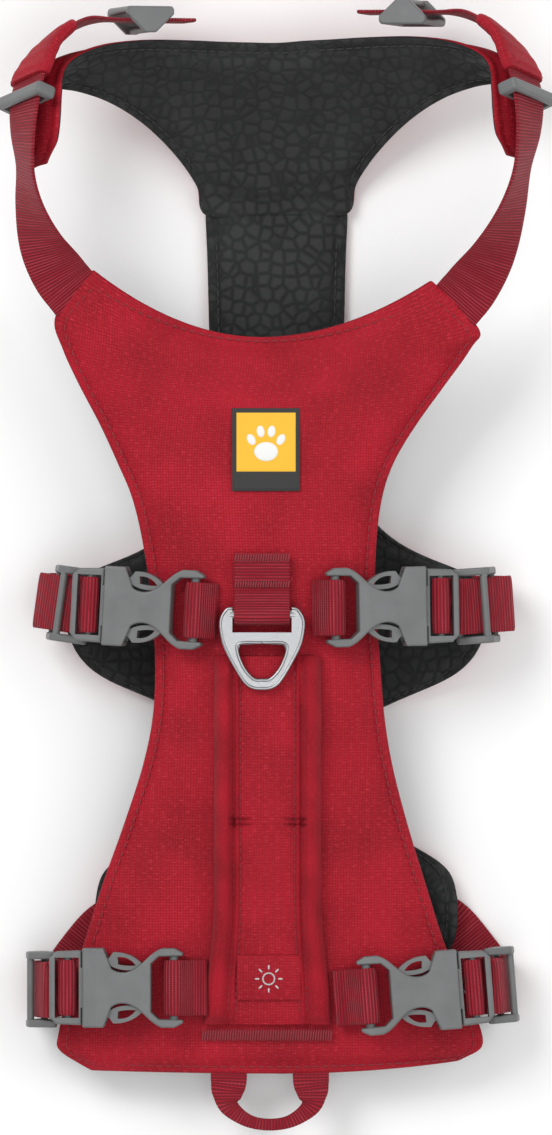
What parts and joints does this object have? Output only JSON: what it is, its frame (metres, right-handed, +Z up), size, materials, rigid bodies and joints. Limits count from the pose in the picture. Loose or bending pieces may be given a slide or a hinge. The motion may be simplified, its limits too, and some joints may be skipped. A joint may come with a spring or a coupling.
{
  "type": "no pull dog harness",
  "caption": "Padded dog harness with a lifting handle, V-shaped back leash ring, chest yoke and belly panel joined by adjustable webbing straps with side-release buckles.",
  "frame": {"origin": "centre of the footprint on the surface that the harness lies on", "axes": "+Z up through the back panel, +Y along the spine to the neck, +X to the dog's right"},
  "size_m": [0.1994, 0.4054, 0.0776],
  "materials": {
    "face_fabric": "crimson ripstop weave",
    "webbing": "ribbed crimson webbing",
    "lining": "charcoal padded lining",
    "foam": "soft foam",
    "plastic": "mid-grey satin moulding",
    "metal": "bright brushed forging",
    "label": "woven label",
    "thread": "bonded thread"
  },
  "bodies": {
    "harness": {"anchor_front_left": "webbing", "anchor_front_right": "webbing", "anchor_rear_left": "webbing", "anchor_rear_right": "webbing", "back_face": "face_fabric", "back_foam": "foam", "back_lining": "lining", "bar_tacks": "thread", "belly_face": "face_fabric", "belly_foam": "foam", "belly_lining": "lining", "buckle_socket_front_left": "plastic", "buckle_socket_front_right": "plastic", "buckle_socket_rear_left": "plastic", "buckle_socket_rear_right": "plastic", "chest_loop": "webbing", "girth_run_front_left": "webbing", "girth_run_front_right": "webbing", "girth_run_rear_left": "webbing", "girth_run_rear_right": "webbing", "guide_ring_left": "plastic", "guide_ring_right": "plastic", "handle_front_end": "face_fabric", "handle_rear_end": "face_fabric", "keeper_left": "face_fabric", "keeper_right": "face_fabric", "label": "label", "light_tab": "face_fabric", "neck_strap_left": "webbing", "neck_strap_right": "webbing", "ring_webbing": "webbing", "yoke_face": "face_fabric", "yoke_foam": "foam", "yoke_lining": "lining"},
    "leash_ring": {"leash_ring": "metal"},
    "handle": {"handle_grip": "face_fabric"},
    "rear_loop": {"rear_loop": "webbing"},
    "plug_front_left": {"buckle_plug_front_left": "plastic", "girth_loop_front_left": "webbing"},
    "prong_front_left_a": {"prong_front_left_a": "plastic"},
    "prong_front_left_b": {"prong_front_left_b": "plastic"},
    "slider_front_left": {"girth_slider_front_left": "plastic"},
    "plug_front_right": {"buckle_plug_front_right": "plastic", "girth_loop_front_right": "webbing"},
    "prong_front_right_a": {"prong_front_right_a": "plastic"},
    "prong_front_right_b": {"prong_front_right_b": "plastic"},
    "slider_front_right": {"girth_slider_front_right": "plastic"},
    "plug_rear_left": {"buckle_plug_rear_left": "plastic", "girth_loop_rear_left": "webbing"},
    "prong_rear_left_a": {"prong_rear_left_a": "plastic"},
    "prong_rear_left_b": {"prong_rear_left_b": "plastic"},
    "slider_rear_left": {"girth_slider_rear_left": "plastic"},
    "plug_rear_right": {"buckle_plug_rear_right": "plastic", "girth_loop_rear_right": "webbing"},
    "prong_rear_right_a": {"prong_rear_right_a": "plastic"},
    "prong_rear_right_b": {"prong_rear_right_b": "plastic"},
    "slider_rear_right": {"girth_slider_rear_right": "plastic"},
    "neck_slider_left": {"neck_slider_left": "plastic"},
    "neck_slider_right": {"neck_slider_right": "plastic"}
  },
  "joints": [
    {"name": "leash_ring_flip", "type": "hinge", "parent": "harness", "child": "leash_ring", "pos_m": [-0.0036, -0.0166, 0.047], "axis": [-1, 0, 0], "range_deg": [0, 120]},
    {"name": "handle_lift", "type": "slide", "parent": "harness", "child": "handle", "axis": [0, 0, 1], "range_m": [0, 0.025]},
    {"name": "rear_loop_flip", "type": "hinge", "parent": "harness", "child": "rear_loop", "pos_m": [-0.0008, -0.183, 0.02238], "axis": [-1, 0, 0], "range_deg": [0, 85]},
    {"name": "release_front_left", "type": "slide", "parent": "harness", "child": "plug_front_left", "axis": [-0.9803, 0.0514, -0.1908], "range_m": [0, 0.028]},
    {"name": "squeeze_front_left_a", "type": "hinge", "parent": "plug_front_left", "child": "prong_front_left_a", "pos_m": [-0.0589, -0.02261, 0.0402], "axis": [-0.1905, 0.01, 0.9816], "range_deg": [0, 6], "stiffness_Nm_per_rad": 0.05},
    {"name": "squeeze_front_left_b", "type": "hinge", "parent": "plug_front_left", "child": "prong_front_left_b", "pos_m": [-0.05794, -0.00424, 0.0402], "axis": [0.1905, -0.01, -0.9816], "range_deg": [0, 6], "stiffness_Nm_per_rad": 0.05},
    {"name": "slider_slide_front_left", "type": "slide", "parent": "plug_front_left", "child": "slider_front_left", "axis": [-0.7803, 0.1097, -0.6157], "range_m": [0, 0.004]},
    {"name": "release_front_right", "type": "slide", "parent": "harness", "child": "plug_front_right", "axis": [0.9847, 0.0172, -0.1736], "range_m": [0, 0.028]},
    {"name": "squeeze_front_right_a", "type": "hinge", "parent": "plug_front_right", "child": "prong_front_right_a", "pos_m": [0.05321, -0.00441, 0.04059], "axis": [0.1736, 0.003, 0.9848], "range_deg": [0, 6], "stiffness_Nm_per_rad": 0.05},
    {"name": "squeeze_front_right_b", "type": "hinge", "parent": "plug_front_right", "child": "prong_front_right_b", "pos_m": [0.05353, -0.0228, 0.04059], "axis": [-0.1736, -0.003, -0.9848], "range_deg": [0, 6], "stiffness_Nm_per_rad": 0.05},
    {"name": "slider_slide_front_right", "type": "slide", "parent": "plug_front_right", "child": "slider_front_right", "axis": [0.8551, 0.0598, -0.515], "range_m": [0, 0.004]},
    {"name": "release_rear_left", "type": "slide", "parent": "harness", "child": "plug_rear_left", "axis": [-0.9976, 0, -0.0698], "range_m": [0, 0.028]},
    {"name": "squeeze_rear_left_a", "type": "hinge", "parent": "plug_rear_left", "child": "prong_rear_left_a", "pos_m": [-0.06632, -0.1594, 0.03399], "axis": [-0.0698, 0, 0.9976], "range_deg": [0, 6], "stiffness_Nm_per_rad": 0.05},
    {"name": "squeeze_rear_left_b", "type": "hinge", "parent": "plug_rear_left", "child": "prong_rear_left_b", "pos_m": [-0.06632, -0.141, 0.03399], "axis": [0.0698, 0, -0.9976], "range_deg": [0, 6], "stiffness_Nm_per_rad": 0.05},
    {"name": "slider_slide_rear_left", "type": "slide", "parent": "plug_rear_left", "child": "slider_rear_left", "axis": [-0.2419, 0, -0.9703], "range_m": [0, 0.004]},
    {"name": "release_rear_right", "type": "slide", "parent": "harness", "child": "plug_rear_right", "axis": [0.9945, 0.0783, -0.0698], "range_m": [0, 0.028]},
    {"name": "squeeze_rear_right_a", "type": "hinge", "parent": "plug_rear_right", "child": "prong_rear_right_a", "pos_m": [0.06469, -0.14152, 0.03379], "axis": [0.0695, 0.0055, 0.9976], "range_deg": [0, 6], "stiffness_Nm_per_rad": 0.05},
    {"name": "squeeze_rear_right_b", "type": "hinge", "parent": "plug_rear_right", "child": "prong_rear_right_b", "pos_m": [0.06613, -0.15986, 0.03379], "axis": [-0.0695, -0.0055, -0.9976], "range_deg": [0, 6], "stiffness_Nm_per_rad": 0.05},
    {"name": "slider_slide_rear_right", "type": "slide", "parent": "plug_rear_right", "child": "slider_rear_right", "axis": [0.2412, 0.019, -0.9703], "range_m": [0, 0.004]},
    {"name": "neck_slide_left", "type": "slide", "parent": "harness", "child": "neck_slider_left", "axis": [0.9578, 0, -0.2873], "range_m": [0, 0.005]},
    {"name": "neck_slide_right", "type": "slide", "parent": "harness", "child": "neck_slider_right", "axis": [-0.9577, 0.0135, -0.2873], "range_m": [0, 0.005]}
  ],
  "couplings": [
    {"joint": "squeeze_front_left_b", "follows": "squeeze_front_left_a", "ratio": 1},
    {"joint": "squeeze_front_right_b", "follows": "squeeze_front_right_a", "ratio": 1},
    {"joint": "squeeze_rear_left_b", "follows": "squeeze_rear_left_a", "ratio": 1},
    {"joint": "squeeze_rear_right_b", "follows": "squeeze_rear_right_a", "ratio": 1}
  ]
}
